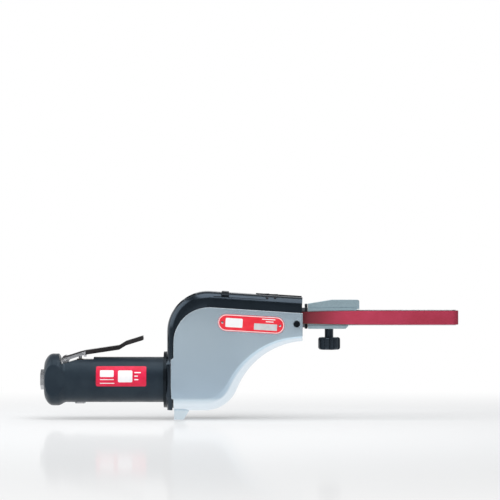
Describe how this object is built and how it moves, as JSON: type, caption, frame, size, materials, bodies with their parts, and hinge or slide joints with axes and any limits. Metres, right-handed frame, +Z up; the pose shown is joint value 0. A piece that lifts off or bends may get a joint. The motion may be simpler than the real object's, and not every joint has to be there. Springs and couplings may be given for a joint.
{
  "type": "pneumatic belt file",
  "caption": "Air driven hand file: a motor grip with throttle lever, a belt head with hinged cover, and a slim arm that carries a narrow abrasive belt to a small tip wheel.",
  "frame": {"origin": "centre of the air inlet's mouth, on the motor's axis", "axes": "+X along the motor's axis from the inlet to the belt's tip, +Z up with the throttle lever on top, -Y towards the hinged cover"},
  "size_m": [0.3802, 0.0521, 0.1163],
  "materials": {
    "grip_black": "moulded, satin black",
    "head_black": "black textured paint",
    "cover_silver": "silver metallic paint, satin",
    "bright_plate": "bright plated",
    "steel": "ground",
    "spring_steel": "drawn wire",
    "bar_steel": "dark ground steel",
    "alloy": "machined",
    "holder_grey": "bead blasted, grey",
    "dark_steel": "blackened steel",
    "rubber_black": "matt",
    "bronze": "turned",
    "vane_laminate": "laminate",
    "knob_black": "moulded, satin black",
    "muffler_grey": "sintered, dark grey",
    "plate_red": "red enamel, gloss",
    "abrasive_red": "abrasive grain on cloth"
  },
  "bodies": {
    "body": {"handle_grip": "grip_black", "motor_housing": "alloy", "inlet_bushing": "steel", "muffler_ring": "muffler_grey", "valve_seat": "bronze", "valve_spring": "spring_steel", "lever_pin": "bright_plate", "motor_cylinder": "alloy", "rear_end_plate": "alloy", "front_end_plate": "alloy", "rear_bearing": "steel", "front_bearing": "steel", "motor_clamp_nut": "alloy", "handle_collar": "head_black", "housing_screws": "dark_steel", "belt_housing": "head_black", "rear_shell": "head_black", "rear_shell_screws": "dark_steel", "drive_bearing": "steel", "idler_shaft": "steel", "idler_spacer": "alloy", "idler_clip": "dark_steel", "abrasive_belt": "abrasive_red", "cover_pivot_screw": "dark_steel", "arm_guide": "alloy", "arm_guide_screws": "dark_steel", "lock_button_spring": "spring_steel", "tension_spring": "spring_steel"},
    "cover": {"belt_cover": "cover_silver", "nameplate": "plate_red", "nameplate_rivets": "bright_plate"},
    "lever": {"throttle_lever": "bright_plate", "lock_off_pin": "bright_plate"},
    "lock_off": {"lock_off_lever": "bright_plate"},
    "valve": {"valve_stem": "steel", "valve_seal": "rubber_black"},
    "regulator": {"speed_regulator": "steel"},
    "rotor": {"rotor": "steel", "rotor_vanes": "vane_laminate", "drive_wheel": "alloy", "drive_wheel_tyre": "rubber_black", "drive_wheel_screw": "dark_steel"},
    "front_idler": {"front_idler": "alloy", "front_idler_bearings": "steel"},
    "rear_idler": {"rear_idler": "alloy", "rear_idler_bearings": "steel"},
    "tension_slide": {"tension_bar": "bar_steel", "bumper": "rubber_black", "arm_pivot_pin": "bright_plate"},
    "arm": {"arm_holder": "holder_grey", "arm_screws": "dark_steel", "contact_arm": "alloy", "platen": "steel", "tip_axle": "bright_plate"},
    "tip_wheel": {"tip_wheel": "dark_steel", "tip_bush": "bronze"},
    "knob": {"tracking_knob": "knob_black", "tracking_screw": "steel"},
    "button": {"lock_button": "knob_black"}
  },
  "joints": [
    {"name": "cover_swing", "type": "hinge", "parent": "body", "child": "cover", "pos_m": [0.2326, 0, 0.0512], "axis": [0, -1, 0], "range_deg": [0, 40]},
    {"name": "throttle_lever", "type": "hinge", "parent": "body", "child": "lever", "pos_m": [0.0229, 0, 0.019], "axis": [0, 1, 0], "range_deg": [0, 7], "stiffness_Nm_per_rad": 0.05, "springref_deg": -11.46},
    {"name": "valve_slide", "type": "slide", "parent": "body", "child": "valve", "axis": [0, 0, 1], "range_m": [-0.00165, 0], "deforming": ["valve_spring"]},
    {"name": "lock_off", "type": "hinge", "parent": "lever", "child": "lock_off", "pos_m": [0.0405, 0, 0.02373], "axis": [0, -1, 0], "range_deg": [0, 50], "stiffness_Nm_per_rad": 0.002, "springref_deg": -17.19},
    {"name": "speed_regulator", "type": "hinge", "parent": "body", "child": "regulator", "pos_m": [0.0359, 0, -0.015], "axis": [0, 0, 1], "range_deg": [0, 90]},
    {"name": "rotor_spin", "type": "hinge", "parent": "body", "child": "rotor", "pos_m": [0.08, 0, 0], "axis": [1, 0, 0], "continuous": true},
    {"name": "rear_idler_spin", "type": "hinge", "parent": "body", "child": "rear_idler", "pos_m": [0.1597, 0.012, 0.0457], "axis": [0, 1, 0], "continuous": true},
    {"name": "front_idler_spin", "type": "hinge", "parent": "body", "child": "front_idler", "pos_m": [0.1597, -0.012, 0.0457], "axis": [0, 1, 0], "continuous": true},
    {"name": "arm_slide", "type": "slide", "parent": "body", "child": "tension_slide", "axis": [1, 0, 0], "range_m": [-0.008, 0], "stiffness_N_per_m": 500, "springref_m": 0.006, "deforming": ["tension_spring"]},
    {"name": "arm_tilt", "type": "hinge", "parent": "tension_slide", "child": "arm", "pos_m": [0.25, 0, 0.0564], "axis": [0, 1, 0], "range_deg": [-1.5, 1.5]},
    {"name": "knob_turn", "type": "hinge", "parent": "arm", "child": "knob", "pos_m": [0.2625, 0, 0.035], "axis": [0, 0, 1], "range_deg": [-147.3, 147.3]},
    {"name": "tip_wheel_spin", "type": "hinge", "parent": "arm", "child": "tip_wheel", "pos_m": [0.3741, 0, 0.0564], "axis": [0, 0, 1], "continuous": true},
    {"name": "lock_button", "type": "slide", "parent": "body", "child": "button", "axis": [0, 0, 1], "range_m": [-0.002, 0], "stiffness_N_per_m": 100, "springref_m": 0.002, "deforming": ["lock_button_spring"]}
  ],
  "couplings": [
    {"joint": "valve_slide", "follows": "throttle_lever", "m_per_rad": -0.0132},
    {"joint": "rear_idler_spin", "follows": "rotor_spin", "ratio": 1.1215},
    {"joint": "front_idler_spin", "follows": "rotor_spin", "ratio": -1.1215},
    {"joint": "tip_wheel_spin", "follows": "rotor_spin", "ratio": -2.1053},
    {"joint": "knob_turn", "follows": "arm_tilt", "ratio": 98.17}
  ]
}
